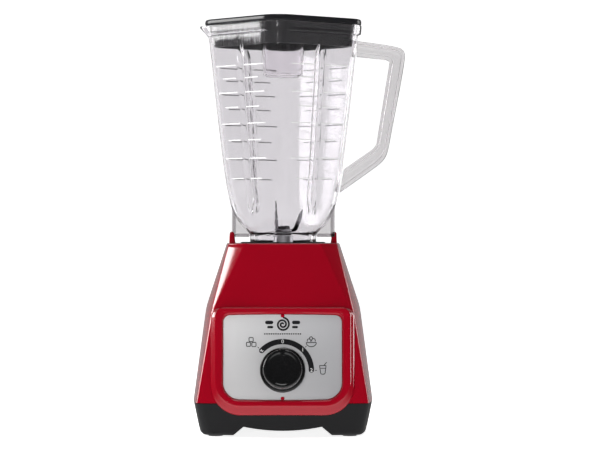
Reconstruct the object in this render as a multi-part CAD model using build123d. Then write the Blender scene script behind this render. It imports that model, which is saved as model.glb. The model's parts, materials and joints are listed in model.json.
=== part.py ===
from build123d import *
import os
from math import atan2, cos, degrees, radians, sin, sqrt, tan

# Countertop blender: a clear square-topped jar with its lid, feeder cap and blades, on a motor base with a
# rotary speed switch. Millimetres, +Z up, front towards -Y, handle towards +X. Every piece is drawn about the
# drive axis, and export() moves it so that the origin is the bottom centre of the whole object's box.

# ---------------------------------------------------------------- driving dimensions
overall_height = 393.4     # worktop to the top of the feeder cap
deck_z = 178.0             # top of the motor housing
waist_z = 118.0            # where the housing's steep top meets its flank
seam_z = 31.0              # housing above, bottom tray below
lip_z = 21.5               # the housing's lowest edge, under the control panel
base_half = 84.6           # reach of the base at the seam
base_corner = 79.0         # reach of the base's creased corner there
waist_half, waist_corner = 72.9, 66.0
deck_half, deck_corner = 53.6, 43.4
shell_wall = 2.5
flank_tilt = degrees(atan2(base_half - waist_half, waist_z - seam_z))   # lean of the control panel

jar_turn = -4.2            # the jar's fins lean on the base's posts, a little round from square
rim_z = 384.0              # top of the jar
collar_drop = 9.0          # height of the thick rim
rim_reach = 74.9           # drive axis to the rim's corner
neck_z = 187.0             # top of the round neck
neck_r = 31.4
neck_bore_r = 27.4
neck_foot_z = 158.0
jar_wall = 3.0
handle_reach = 118.4       # drive axis to the grip's outer corner before it is rounded
grip_reach = 116.0         # and after
handle_width = 22.0
fin_reach, fin_top_z, fin_foot_z = 49.0, 214.6, 183.7
post_in, post_out, post_top_z = 44.9, 51.4, 189.0

well_r = 38.6              # pocket in the deck that takes the jar nut
ledge_z = 150.0            # where the jar nut rests
pocket_r = 25.0
pocket_floor_z = 136.0
shaft_r = 4.0
running = 0.05             # radial clearance of a shaft in its bush
knob_r = 20.8
knob_z = 61.6              # height of the knob's axis on the panel face
knob_depth = 19.0
panel_width, panel_height = 109.0, 78.0
panel_lift = 11.6          # panel centre above the knob's axis, along the panel
tray_foot_z = 1.2
leg_inner = 47.0           # inner side of the four legs
gland_y = 87.4             # outer face of the cord inlet
inlet_r = 3.6

spout_reach = 79.5
knob_reach = 102.6
axis_x = (base_half - grip_reach) / 2
axis_y = (knob_reach - gland_y) / 2


# ---------------------------------------------------------------- helpers
def between(z, low, high):
    """The value at height z on the straight line through (height, value) pairs low and high."""
    return low[1] + (high[1] - low[1]) * (z - low[0]) / (high[0] - low[0])


def barrel(z, half, corner, radius):
    """A square with four bowed sides: half is its reach at mid-side, corner that of its corners."""
    ends = [(corner, -corner), (corner, corner), (-corner, corner), (-corner, -corner)]
    middles = [(half, 0), (0, half), (-half, 0), (0, -half)]
    arcs = [ThreePointArc(ends[i], middles[i], ends[(i + 1) % 4]) for i in range(4)]
    face = make_face(arcs)
    return Pos(0, 0, z) * fillet(face.vertices(), radius)


def diamond(z, reach, radius):
    """A rounded square standing on its corner: reach is from the axis to a rounded corner."""
    side = sqrt(2) * (reach + radius * (sqrt(2) - 1))
    return Pos(0, 0, z) * Rot(0, 0, 45) * RectangleRounded(side, side, radius)


def tube(radius, bore, low, high):
    """A round sleeve about the drive axis, or a plain disc when bore is 0."""
    body = Pos(0, 0, (low + high) / 2) * Cylinder(radius, high - low)
    if bore:
        body -= Pos(0, 0, (low + high) / 2) * Cylinder(bore, high - low + 2)
    return body


def block(x, y, z):
    """A box between the given (low, high) pairs."""
    size = [high - low for low, high in (x, y, z)]
    return Pos(*[(low + high) / 2 for low, high in (x, y, z)]) * Box(*size)


def outline_xz(points, half_width):
    """A solid whose outline is drawn in the upright plane through the drive axis."""
    face = make_face(Polyline(*[(x, 0, z) for x, z in points], close=True))
    return extrude(face, half_width, dir=(0, 1, 0), both=True)


def four(shape):
    """The shape and its three copies, a quarter turn apart."""
    return [Rot(0, 0, 90 * i) * shape for i in range(4)]


panel_out = Vector(0, -cos(radians(flank_tilt)), sin(radians(flank_tilt)))
pad_y = -(between(knob_z, (seam_z, base_half), (waist_z, waist_half)) + 1.5)
# Local frame of the control panel: x to the right, y up the panel, z out towards the user, 0 on the pad's face.
panel = Plane(origin=(0, pad_y, knob_z), x_dir=(1, 0, 0), z_dir=panel_out)
plate_thick, recess_depth = 1.2, 2.0


# ---------------------------------------------------------------- base: shells
def flank(offset, low, high, corner_r=7.0):
    """The housing's lower block, shrunk by offset, from height low to height high."""
    levels = []
    for z in (low, high):
        half = between(z, (seam_z, base_half), (waist_z, waist_half)) - offset
        corner = between(z, (seam_z, base_corner), (waist_z, waist_corner)) - offset
        levels.append(barrel(z, half, corner, corner_r))
    return loft(levels, ruled=True)


def shoulder(offset, high):
    """The housing's steep upper block, shrunk by offset."""
    levels = []
    for z in (waist_z, high):
        half = between(z, (waist_z, waist_half), (deck_z, deck_half)) - offset
        corner = between(z, (waist_z, waist_corner), (deck_z, deck_corner)) - offset
        levels.append(barrel(z, half, corner, 7.0))
    return loft(levels, ruled=True)


def pad_sketch(grow, top_r, foot_r):
    """The barrel-cornered outline of the control panel, grown by grow."""
    width, height = panel_width / 2 + grow, panel_height / 2 + grow
    face = Pos(0, panel_lift) * Rectangle(2 * width, 2 * height)
    face = fillet(face.vertices().group_by(Axis.Y)[-1], top_r)
    return fillet(face.vertices().group_by(Axis.Y)[0], foot_r)


def housing():
    shell = flank(0, seam_z, waist_z) + shoulder(0, deck_z)
    pad = panel * extrude(pad_sketch(7.0, 9, 22), amount=-16)
    pad = chamfer(pad.faces().sort_by(Axis((0, 0, 0), tuple(panel_out)))[-1].edges(), 1.2)
    shell += pad - block((-90, 90), (-120, 0), (-40, lip_z))
    shell -= flank(shell_wall, seam_z - 20, waist_z) + shoulder(shell_wall, deck_z - 3)
    shell -= block((-80, 80), (-72, 80), (-10, seam_z))
    shell -= panel * extrude(pad_sketch(0.4, 6.4, 17), amount=-recess_depth)
    shell -= panel * Cylinder(5.2, 60)
    opening = Pos(0, 0, deck_z - 3) * RectangleRounded(80, 80, 5)
    shell -= extrude(opening, 8)
    for boss in four(Pos(52, 52, 80) * Cylinder(4.6, 136)):
        shell += boss & (flank(1, seam_z - 20, waist_z) + shoulder(1, deck_z - 1)) - tray_room()
    for hole in four(Pos(52, 52, 22) * Cylinder(1.6, 44)):
        shell -= hole
    for side in (-1, 1):
        middle = (post_in + post_out) / 2
        foot = Pos(side * middle, side * 2.9, deck_z - 1) * Rectangle(post_out - post_in, 5.4)
        head = Pos(side * (middle + 0.4), side * 2.7, post_top_z) * Rectangle(4.6, 4.2)
        shell += fillet(loft([foot, head]).faces().sort_by(Axis.Z)[-1].edges(), 1.2)
    return shell


def tray_room():
    """The space under the bosses that the bottom tray's own bosses fill."""
    return block((-90, 90), (-90, 90), (-5, 18))


def arch(depth):
    """The cut between two legs: sloping ends and a belly that sags in the middle."""
    edges = [
        Line((-leg_inner, 0, -5), (-leg_inner, 0, 0)),
        Line((-leg_inner, 0, 0), (-36, 0, 9.4)),
        ThreePointArc((-36, 0, 9.4), (0, 0, depth), (36, 0, 9.4)),
        Line((36, 0, 9.4), (leg_inner, 0, 0)),
        Line((leg_inner, 0, 0), (leg_inner, 0, -5)),
        Line((leg_inner, 0, -5), (-leg_inner, 0, -5)),
    ]
    return extrude(make_face(edges), 100, dir=(0, 1, 0), both=True)


def bottom_tray():
    foot = barrel(tray_foot_z, base_half - 6, base_corner - 6, 12)
    top = barrel(seam_z - 0.3, base_half, base_corner, 9)
    outer = loft([foot, top], ruled=True)
    outer = fillet(outer.faces().sort_by(Axis.Z)[0].edges(), 3.5)
    room = loft([barrel(12, base_half - 7, base_corner - 7, 9),
                 barrel(seam_z + 1, base_half - 3, base_corner - 3, 6)], ruled=True)
    tray = outer - arch(5.7) - Rot(0, 0, 90) * arch(5.7) - room
    # the housing's lip dips into the front wall
    dip = panel * extrude(pad_sketch(7.3, 9, 22), amount=-30)
    tray -= dip & block((-90, 90), (-120, -60), (lip_z - 0.3, 60))
    for boss in four(Pos(52, 52, 12) * Cylinder(5.2, 11)):
        tray += boss
    for hole in four(Pos(52, 52, 10) * Cylinder(2.2, 30) + Pos(52, 52, 0) * Cylinder(4.2, 18)):
        tray -= hole
    for pocket in four(Pos(62, 62, tray_foot_z) * Cylinder(7.2, 4)):
        tray -= pocket
    for i in range(-5, 6):
        tray -= Pos(7.0 * i, 0, 10) * Box(3, 64 - abs(i) * 5, 12)
    tray -= Pos(0, base_half, 20) * Rot(90, 0, 0) * Cylinder(6.2, 30)
    return tray


def deck():
    """The black insert of the housing's top, with the well that takes the jar nut."""
    plate = extrude(Pos(0, 0, deck_z - 3.4) * RectangleRounded(79.4, 79.4, 4.7), 4.4)
    flange = tube(50, 0, deck_z - 6.7, deck_z - 3.1)
    cup = tube(well_r + 2.4, well_r, ledge_z - 3, deck_z - 3.2)
    step = tube(well_r + 2.4, pocket_r, ledge_z - 3, ledge_z)
    pocket = tube(pocket_r + 2.4, pocket_r, pocket_floor_z - 2.6, ledge_z)
    floor = tube(pocket_r + 2.4, 9.0, pocket_floor_z - 2.6, pocket_floor_z)
    lip = tube(11.4, 9.0, pocket_floor_z - 1, pocket_floor_z + 2.4)
    body = plate + flange - tube(well_r, 0, deck_z - 12, deck_z + 4)
    body = body + cup + step + pocket + floor + lip
    for leg in four(Pos(34, 0, 137) * Cylinder(4.4, 24)):
        body += leg - tube(pocket_r + 2.0, 0, 120, 150) - tube(60, 0, ledge_z - 2, 170)
    for hole in four(Pos(34, 0, 130) * Cylinder(1.7, 18)):
        body -= hole
    return body


# ---------------------------------------------------------------- base: control panel
def control_plate():
    face = extrude(pad_sketch(0.0, 6, 16.6), amount=plate_thick)
    face -= Cylinder(5.2, 10)
    return panel * Pos(0, 0, -recess_depth) * face


plate_top = plate_thick - recess_depth    # the plate's face, along the panel's own z


def knob():
    body = Pos(0, 0, plate_top + 0.6 + 2.2) * Cylinder(knob_r, 4.4)
    body = fillet(body.edges().group_by(Axis.Z)[-1], 1.4)
    crown = Pos(0, 0, plate_top + 5 + 7.2) * Cone(knob_r - 2.2, knob_r - 3.9, 14.4)
    crown = fillet(crown.edges().group_by(Axis.Z)[-1], 1.8)
    body += crown
    body -= Pos(0, 0, plate_top + knob_depth + 37) * Sphere(38)     # dished face
    body -= Pos(0, 0, plate_top + 4.4) * Cylinder(9.6, 8.0)
    body -= Pos(0, 0, plate_top + 10) * Cylinder(3.0, 8.0)
    pointer = Pos(0, knob_r - 3.4, plate_top + 12.4) * Box(2.4, 5.4, 13.6)
    return panel * (body + fillet(pointer.edges().filter_by(Axis.Y), 0.9))


def switch_shaft():
    rod = Pos(0, 0, plate_top - 1.2) * Cylinder(2.95, 30)
    return panel * rod


def switch_bushing():
    """Threaded sleeve that clamps the switch behind the panel, with its hexagon nut in front."""
    sleeve = Pos(0, 0, plate_top - 1.5) * Cylinder(5.0, 11)
    nut = Pos(0, 0, plate_top + 0.05) * extrude(RegularPolygon(8.2, 6), amount=2.4)
    return panel * (sleeve + nut - Cylinder(2.95 + running, 60))


def switch_body():
    case = Pos(0, 0, plate_top - 18.1) * Box(32, 30, 22)
    case = fillet(case.edges().filter_by(Axis.Z), 3)
    for x in (-10, 0, 10):
        case += Pos(x, -18.5, plate_top - 20) * Box(4.8, 8, 0.8)
        case += Pos(x, 18.5, plate_top - 20) * Box(4.8, 8, 0.8)
    case -= Pos(0, 0, plate_top - 10) * Cylinder(2.95 + running, 15.2)
    return panel * case


# ---------------------------------------------------------------- base: motor
stack_low, stack_high = 66.0, 98.0
bore_r = 19.6
bracket_x, bracket_y = 31.0, 26.0     # through bolts


def stator_core():
    core = Pos(0, 0, (stack_low + stack_high) / 2) * Box(74, 64, stack_high - stack_low)
    core = fillet(core.edges().filter_by(Axis.Z), 11)
    core -= tube(bore_r, 0, stack_low - 1, stack_high + 1)
    for sx in (-1, 1):
        for sy in (-1, 1):
            core -= Pos(sx * 26.5, sy * 17.5, 82) * Box(9.4, 10.4, 40)
    for x in (-bracket_x, bracket_x):
        for y in (-bracket_y, bracket_y):
            core -= Pos(x, y, 82) * Cylinder(2.3, 40)
    for groove in (-1, 0, 1):
        for side in (-1, 1):
            core -= Pos(side * 37, 12 * groove, 82) * Box(1.2, 1.2, 40)
    return core


def field_coils():
    """Two oblong windings, one round each pole."""
    coils = []
    for side in (-1, 1):
        ring = Rectangle(43.6, stack_high - stack_low + 17)
        ring = fillet(ring.vertices(), 7) - fillet(Rectangle(25.4, stack_high - stack_low + 0.8).vertices(), 0.8)
        ring = extrude(Plane(origin=(side * 26.5, 0, 82), x_dir=(0, 1, 0), z_dir=(1, 0, 0)) * ring, 4.3, both=True)
        coils.append(ring)
    return coils


def motor_bracket(low, thick, bearing_low, bearing_high, bearing_r):
    """Cast cross bar with a bearing boss, four ears and feet that stand on the stator."""
    bar = Pos(0, 0, low + thick / 2) * (Box(74, 20, thick) + Box(20, 62, thick))
    bar += Pos(0, 0, low + thick / 2) * (Box(70, 60, thick) - Box(54, 44, thick + 1))
    bar += tube(bearing_r + 3.2, 0, bearing_low, bearing_high)
    bar -= tube(bearing_r, 0, bearing_low - 1, bearing_high + 1)
    for x in (-bracket_x, bracket_x):
        for y in (-bracket_y, bracket_y):
            bar -= Pos(x, y, low) * Cylinder(2.3, 30)
    return bar


upper_bar_low, lower_bar_low, bar_thick = 116.0, 36.0, 3.4


def upper_bracket():
    bar = motor_bracket(upper_bar_low, bar_thick, upper_bar_low, 127.0, 8.0)
    for ear in four(Pos(34, 0, upper_bar_low + bar_thick / 2) * Cylinder(6, bar_thick)):
        bar += ear
    for hole in four(Pos(34, 0, upper_bar_low) * Cylinder(2.2, 12)):
        bar -= hole
    legs = spacers(stack_high, upper_bar_low)
    return bar + legs


def spacers(low, high):
    """Four posts between the stator and a bracket, bored for the through bolts."""
    posts = []
    for x in (-bracket_x, bracket_x):
        for y in (-bracket_y, bracket_y):
            posts.append(Pos(x, y, (low + high) / 2) * (Cylinder(4.0, high - low) - Cylinder(2.3, high - low)))
    return posts


def lower_bracket():
    bar = motor_bracket(lower_bar_low, bar_thick, lower_bar_low, 45.0, 7.0)
    return bar + spacers(lower_bar_low + bar_thick, stack_low)


def bearing(radius, low, high):
    return tube(radius, shaft_r + running, low, high)


def through_bolts():
    bolts = []
    for x in (-bracket_x, bracket_x):
        for y in (-bracket_y, bracket_y):
            shank = Pos(x, y, 78) * Cylinder(2.0, 88)
            head = Pos(x, y, 34.4) * Cylinder(3.9, 3.1)
            nut = Pos(x, y, upper_bar_low + bar_thick + 0.05) * extrude(RegularPolygon(3.9, 6), amount=2.6)
            bolts.append(shank + head + nut)
    return bolts


def bracket_screws():
    screws = []
    for screw in four(Pos(34, 0, 124) * Cylinder(1.6, 22) + Pos(34, 0, 114.6) * Cylinder(3.4, 2.7)):
        screws.append(screw)
    return screws


def motor_shaft():
    rod = tube(shaft_r, 0, 17.0, 147.0)
    return chamfer(rod.edges().filter_by(GeomType.CIRCLE), 0.5)


def armature_core():
    core = tube(bore_r - 0.7, shaft_r, stack_low, stack_high)
    for i in range(12):
        core -= Rot(0, 0, 30 * i) * Pos(bore_r - 4, 0, 82) * Box(8, 2.2, 40)
    return core


def armature_windings():
    """The end turns, above and below the armature."""
    turns = []
    for low, high in ((stack_high, stack_high + 9), (stack_low - 9, stack_low)):
        ring = tube(16.4, shaft_r + 2.0, low, high)
        turns.append(fillet(ring.edges().filter_by(GeomType.CIRCLE).group_by(SortBy.RADIUS)[-1], 3))
    return turns


commutator_low, commutator_high, commutator_r = 46.4, 56.4, 9.6


def commutator():
    ring = tube(commutator_r, shaft_r, commutator_low, commutator_high)
    ring += tube(commutator_r + 1.3, shaft_r, commutator_high - 1.1, commutator_high)
    for i in range(24):
        ring -= Rot(0, 0, 15 * i) * Pos(commutator_r + 1, 0, 52) * Box(3.4, 0.5, 20)
    return ring


def brush_holders():
    """Two brass tubes, one each side of the commutator, and their clamping tabs."""
    holders = []
    for side in (-1, 1):
        sleeve = Pos(0, side * 20.5, 51) * (Box(8.4, 17, 10.4) - Box(6.4, 18, 8.4))
        tab = Pos(0, side * 22, 43.2) * Box(12, 12, 5.6) - Pos(0, side * 22, 43) * Cylinder(1.6, 12)
        holders.append(sleeve + tab)
    return holders


def carbon_brushes():
    brushes = []
    for side in (-1, 1):
        bar = Pos(0, side * 17, 51) * Box(6.2, 16, 8.2) - tube(commutator_r + 0.1, 0, 40, 60)
        brushes.append(bar)
    return brushes


def brush_springs():
    """Coil springs behind the brushes, drawn as their solid sleeves."""
    return [Pos(0, side * 27.3, 51) * Rot(90, 0, 0) * (Cylinder(2.8, 4.2) - Cylinder(1.6, 5)) for side in (-1, 1)]


def cooling_fan():
    hub = tube(9, shaft_r, 20.0, 33.0)
    disc = tube(36, shaft_r, 31.0, 33.0)
    fan = hub + disc
    for i in range(10):
        fan += Rot(0, 0, 36 * i) * (Pos(21.5, 3, 26) * Rot(0, 0, 14) * Box(27, 1.6, 11))
    return fan


def slinger():
    """Rubber washer on the shaft that throws spilt liquid clear of the bearing."""
    return tube(8.4, shaft_r, 129.4, 131.4) + tube(6, shaft_r, 131.4, 133.0)


stud_side = 9.0


def drive_stud():
    """Square metal stud, the male half of the drive."""
    disc = tube(8.4, shaft_r, pocket_floor_z + 0.6, pocket_floor_z + 3.6)
    square = Pos(0, 0, 144.3) * Box(stud_side, stud_side, 9.4)
    square = chamfer(square.edges().filter_by(Axis.Z), 1.0)
    square = chamfer(square.faces().sort_by(Axis.Z)[-1].edges(), 0.7)
    square -= tube(shaft_r, 0, 138, 147)
    return disc + square


def tray_screws():
    screws = []
    for i in range(4):
        screw = Pos(52, 52, 17) * Cylinder(1.5, 20) + Pos(52, 52, 8.0) * Cylinder(3.6, 2.0)
        screw -= Pos(52, 52, 7.2) * (Box(5, 0.9, 1.2) + Box(0.9, 5, 1.2))
        screws.append(Rot(0, 0, 90 * i) * screw)
    return screws


def rubber_feet():
    feet = []
    for foot in four(Pos(62, 62, 1.5) * Cylinder(6.9, 3.0)):
        feet.append(fillet(foot.edges().group_by(Axis.Z)[0], 0.8))
    return feet


def cord_gland():
    """Moulded inlet bush in the back wall of the tray, with no cord in it."""
    along = Pos(0, 0, 20) * Rot(90, 0, 0)
    body = along * Pos(0, 0, -(gland_y - 7)) * Cylinder(6.0, 14)
    flange = along * Pos(0, 0, -(gland_y - 1.4)) * Cylinder(8.4, 2.8)
    clip = along * Pos(0, 0, -(gland_y - 12.6)) * Cylinder(7.4, 2.8)
    gland = body + fillet(flange.edges().group_by(Axis.Y)[-1], 1.0) + clip
    return gland - along * Pos(0, 0, -80) * Cylinder(inlet_r, 40)


def terminal_block():
    """Screw terminals inside the tray, where the cord's cores join the switch leads."""
    block_solid = Pos(24, 50, 19.1) * Box(30, 14, 14)
    for x in (15, 24, 33):
        block_solid -= Pos(x, 50, 22) * Cylinder(2.2, 9)
    return fillet(block_solid.edges().filter_by(Axis.Z), 1.2)


def lead(points, radius=1.2):
    """An insulated wire: straight runs joined by tangent arcs."""
    runs = [(Vector(*b) - Vector(*a)).length for a, b in zip(points, points[1:])]
    radii = []
    for i in range(1, len(points) - 1):
        turn = (Vector(*points[i]) - Vector(*points[i - 1])).get_angle(Vector(*points[i + 1]) - Vector(*points[i]))
        radii.append(0.45 * min(runs[i - 1], runs[i]) / tan(radians(turn) / 2))
    path = FilletPolyline(*points, radius=radii)
    profile = Plane(origin=path @ 0, z_dir=path % 0) * Circle(radius)
    return sweep(profile, path=path)


def switch_leads():
    """Two wires from the switch to the field coils and two to the terminal block."""
    start_y, start_z = -58.0, 41.5
    left = lead([(-10, start_y, start_z), (-10, -54, 33), (-20, -47, 28), (-36, -40, 32), (-44, -28, 48), (-42, -22, 66)])
    right = lead([(10, start_y, start_z), (10, -54, 33), (22, -48, 27), (38, -40, 30), (46, -28, 46), (42, -22, 64)])
    back = lead([(0, start_y, start_z), (2, -56, 30), (20, -55, 18), (42, -48, 16.5), (54, -30, 16), (56, -4, 16),
                 (56, 20, 16), (48, 36, 18), (33, 41, 20)])
    return [left, right, back]


# ---------------------------------------------------------------- jar
def body_reach(z):
    """Drive axis to the jar's outer corner, by height."""
    levels = [(neck_z, neck_r + 1.4), (190.5, 35.4), (195, 39.8), (203.7, 45.6), (213, 49.4), (222, 51.6), (266, 58.5),
              (320, 65.0), (rim_z - collar_drop, 71.4), (rim_z, 72.4)]
    for low, high in zip(levels, levels[1:]):
        if z <= high[0]:
            return between(z, low, high)
    return levels[-1][1]


def corner_radius(z):
    """Radius of the jar's upright corners: a full round at the neck, tighter above."""
    levels = [(neck_z, neck_r - 1.4), (195, 27.0), (203.7, 23.0), (213, 19.5), (222, 17.5), (rim_z, 18.0)]
    for low, high in zip(levels, levels[1:]):
        if z <= high[0]:
            return between(z, low, high)
    return levels[-1][1]


def jar_loft(inset, heights):
    return loft([diamond(z, body_reach(z) - inset, corner_radius(z) - inset) for z in heights])


flute_levels = [(367, 0.2), (357, 1.2), (335, 6.6), (218, 6.6), (204, 0.4)]


def flute(extra):
    """One upright groove at the middle of a face: extra grows it into the rib inside the wall."""
    wedges = []
    for z, depth in flute_levels:
        reach, radius = body_reach(z), corner_radius(z)
        face_at = (reach + radius * (sqrt(2) - 1)) / sqrt(2)
        share = depth / 6.6
        mouth, root = 1.0 + 2.4 * share + extra, 0.5 + 0.9 * share + extra
        inner, outer = face_at - depth - extra, face_at + 4
        corners = [(outer, -mouth), (outer, mouth), (inner, root), (inner, -root)]
        wedges.append(Pos(0, 0, z) * make_face(Polyline(*corners, close=True)))
    return Rot(0, 0, 45) * loft(wedges, ruled=True)


def handle():
    outer = [(56, 371.4), (handle_reach, 362.5), (98.3, 257.0), (46, 220.1)]
    inner = [(50, 242.9), (88.2, 269.2), (101.1, 350.9), (56, 355.8)]
    face = make_face(Polyline(*[(x, 0, z) for x, z in outer + inner], close=True))

    def near(x, z):
        return min(face.vertices(), key=lambda v: (v.X - x) ** 2 + (v.Z - z) ** 2)

    for (x, z), radius in ((outer[1], 16), (outer[2], 12), (inner[2], 5), (inner[1], 4)):
        face = fillet(near(x, z), radius)
    loop = extrude(face, handle_width / 2, dir=(0, 1, 0), both=True)
    return fillet(loop.faces().sort_by(Axis.Y)[0].edges() + loop.faces().sort_by(Axis.Y)[-1].edges(), 3.4)


def fins():
    """A thin web under each side corner, with a thick border that leans on a post."""
    webs = []
    for side in (-1, 1):
        plate = outline_xz([(side * 24, fin_foot_z), (side * fin_reach, fin_foot_z),
                            (side * fin_reach, fin_top_z), (side * 24, fin_top_z)], 1.1)
        foot = block(sorted((side * 24, side * fin_reach)), (-2.5, 2.5), (fin_foot_z, fin_foot_z + 3.2))
        edge = block(sorted((side * (fin_reach - 3.8), side * fin_reach)), (-2.5, 2.5), (fin_foot_z, fin_top_z))
        webs.append(plate + foot + edge)
    return webs


def spout(inset):
    """A small beak on the corner away from the handle, or its channel when inset is above 0."""
    reach, root = spout_reach - 1.4 * inset, 58.0
    plan = make_face(Polyline((-root, -15 + inset), (-reach, -2.6 + inset * 0.4), (-reach, 2.6 - inset * 0.4),
                              (-root, 15 - inset), close=True))
    beak = extrude(Pos(0, 0, rim_z - 14) * plan, 14 + inset)
    side = [(-root, rim_z + inset), (-reach, rim_z - 1.2 + inset), (-reach, rim_z - 3 + inset),
            (-root - 10, rim_z - 13 + inset), (-root, rim_z - 14 + inset)]
    return beak & outline_xz(side, 20)


def jar():
    low = [neck_z, 190.5, 195, 203.7, 213, 222]
    high = [222, 266, 320, rim_z - collar_drop, rim_z]
    outer = jar_loft(0, low) + jar_loft(0, high)
    outer += extrude(diamond(rim_z - collar_drop, rim_reach, 19), collar_drop)
    outer += Rot(0, 0, 20) * tube(neck_r, 0, neck_foot_z, neck_z + 1)
    outer += handle()
    for web in fins():
        outer += web
    outer += spout(0)
    room = jar_loft(jar_wall, low) + jar_loft(jar_wall, high)
    groove, rib = flute(0), flute(jar_wall - 0.4)
    for i in range(4):
        outer -= Rot(0, 0, 90 * i) * groove
        room -= Rot(0, 0, 90 * i) * rib
    body = outer - room - spout(2.6)
    body -= Rot(0, 0, 20) * tube(neck_bore_r, 0, neck_foot_z - 1, neck_z + 2)
    for ring_z in (161.0, 165.0, 169.0):
        body += Rot(0, 0, 20) * tube(neck_r + 0.9, neck_r - 1, ring_z, ring_z + 1.4)
    return body


def lid():
    flange = extrude(diamond(rim_z + 0.1, rim_reach - 0.5, 19), 5.9)
    flange = fillet(flange.faces().sort_by(Axis.Z)[-1].edges(), 2.2)
    skirt_out = loft([diamond(364, 64.6, 15), diamond(rim_z + 0.2, 68.6, 15)], ruled=True)
    skirt_in = loft([diamond(363, 61.8, 13), diamond(rim_z + 0.3, 65.9, 13)], ruled=True)
    dish = extrude(diamond(rim_z + 3.4, 62, 13), 4)
    top = flange - dish + tube(26.5, 0, rim_z + 1, rim_z + 5.4)
    return top + (skirt_out - skirt_in) - tube(21.4, 0, rim_z - 4, rim_z + 12)


cup_foot_z = 335.0


def filler_cap():
    cup = Pos(0, 0, (cup_foot_z + rim_z + 6) / 2) * Cone(19.0, 20.6, rim_z + 6 - cup_foot_z)
    cup = fillet(cup.edges().group_by(Axis.Z)[0], 2)
    rim = tube(25.4, 0, rim_z + 5.7, overall_height)
    rim = fillet(rim.edges().group_by(Axis.Z)[-1], 1.2)
    hollow = Pos(0, 0, (cup_foot_z + 2.2 + overall_height + 1) / 2) * Cone(17.0, 18.6, overall_height - cup_foot_z - 1.2)
    return cup + rim - hollow


# ---------------------------------------------------------------- blades and their carrier
def jar_nut():
    """Threaded retaining ring that clamps the blade carrier and gasket to the jar's foot."""
    ring = tube(37.0, neck_r + 1.2, ledge_z, 172.0) + tube(37.0, 22.0, ledge_z, ledge_z + 3.0)
    for i in range(24):
        ring -= Rot(0, 0, 15 * i) * Pos(38.0, 0, 164) * Cylinder(1.8, 20)
    return ring


def gasket():
    return tube(30.8, neck_bore_r - 1.0, 155.5, neck_foot_z)


def blade_carrier():
    flange = tube(30.8, 0, ledge_z + 3.0, 155.5)
    sleeve = Pos(0, 0, 170.2) * Cone(12.5, 8.6, 29.5)
    collar = tube(9.6, 0, 184.0, 186.0)
    body = fillet(flange.edges().group_by(Axis.Z)[-1], 0.6) + sleeve + collar
    return body - tube(6.4, 0, 150, 190)


def blade_bush():
    return tube(6.4, shaft_r + running, 154.0, 186.0)


def blade_shaft():
    rod = tube(shaft_r, 0, 152.6, 193.4)
    return rod


def drive_socket():
    """Metal socket on the blade shaft's foot, the female half of the drive."""
    room = Pos(0, 0, 144.6) * Box(stud_side + 0.5, stud_side + 0.5, 9.8)
    body = tube(9.4, 0, 140.4, 152.6) + tube(6.0, 0, 152.6, 153.8)
    body = fillet(body.edges().group_by(Axis.Z)[0], 0.8)
    return body - room - tube(shaft_r, 0, 152.6, 160)


blade_thick = 1.4


def wing(turn, lean, length, root_width):
    """One tapered blade arm, bent up (or down) by lean degrees beyond the hub."""
    flat = make_face(Polyline((2.5, -root_width / 2), (9.5, -root_width / 2), (9.5, root_width / 2),
                              (2.5, root_width / 2), close=True))
    root = extrude(flat, blade_thick)
    tip = make_face(Polyline((0, -root_width / 2), (length * 0.72, -root_width * 0.34), (length, -root_width * 0.46),
                             (length * 0.8, root_width * 0.3), (0, root_width / 2), close=True))
    arm = Pos(9.2, 0, 0) * Rot(0, -lean, 0) * Pos(-0.2, 0, 0) * extrude(tip, blade_thick)
    return Rot(0, 0, turn) * (root + arm)


def blade(low, up, down):
    plate = tube(7.4, shaft_r, 0, blade_thick)
    for turn, lean, length in (up, down):
        plate += wing(turn, lean, length, 10.5) - Cylinder(shaft_r, 20)
    return Pos(0, 0, low) * plate


def lower_blade():
    return blade(188.0, (-24, 42, 21), (156, -38, 12.5))


def upper_blade():
    return blade(190.6, (249, 76, 27), (69, -24, 14))


def blade_washers():
    return [tube(8.0, shaft_r, 186.6, 188.0), tube(7.0, shaft_r, 189.4, 190.6)]


def blade_cap_nut():
    """Low closed nut that holds the blades down on the shaft."""
    nut = chamfer(tube(6.4, 0, 192.0, 195.0).edges().group_by(Axis.Z)[-1], 0.9)
    flats = extrude(RegularPolygon(6.6, 6), amount=40)
    return nut & Pos(0, 0, 180) * flats - tube(shaft_r, 0, 190, 193.4)


# ---------------------------------------------------------------- write the files
base_pieces = {
    "housing": housing, "bottom_tray": bottom_tray, "deck_insert": deck, "control_plate": control_plate,
    "knob": knob, "switch_shaft": switch_shaft, "switch_bushing": switch_bushing, "switch_body": switch_body,
    "stator_core": stator_core, "field_coils": field_coils, "upper_bracket": upper_bracket,
    "lower_bracket": lower_bracket, "upper_bearing": lambda: bearing(8.0, 116.6, 127.0),
    "lower_bearing": lambda: bearing(7.0, 36.6, 45.0), "through_bolts": through_bolts,
    "bracket_screws": bracket_screws, "motor_shaft": motor_shaft, "armature_core": armature_core,
    "armature_windings": armature_windings, "commutator": commutator, "brush_holders": brush_holders,
    "carbon_brushes": carbon_brushes, "brush_springs": brush_springs, "cooling_fan": cooling_fan,
    "slinger": slinger, "drive_stud": drive_stud, "tray_screws": tray_screws, "rubber_feet": rubber_feet,
    "cord_gland": cord_gland, "terminal_block": terminal_block, "switch_leads": switch_leads,
}
jar_pieces = {
    "jar": jar, "lid": lid, "filler_cap": filler_cap, "jar_nut": jar_nut, "gasket": gasket,
    "blade_carrier": blade_carrier, "blade_bush": blade_bush, "blade_shaft": blade_shaft,
    "drive_socket": drive_socket, "lower_blade": lower_blade, "upper_blade": upper_blade,
    "blade_washers": blade_washers, "blade_cap_nut": blade_cap_nut,
}
square_to_base = ("drive_socket",)      # the socket sits square on the stud, whatever the jar's turn


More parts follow.
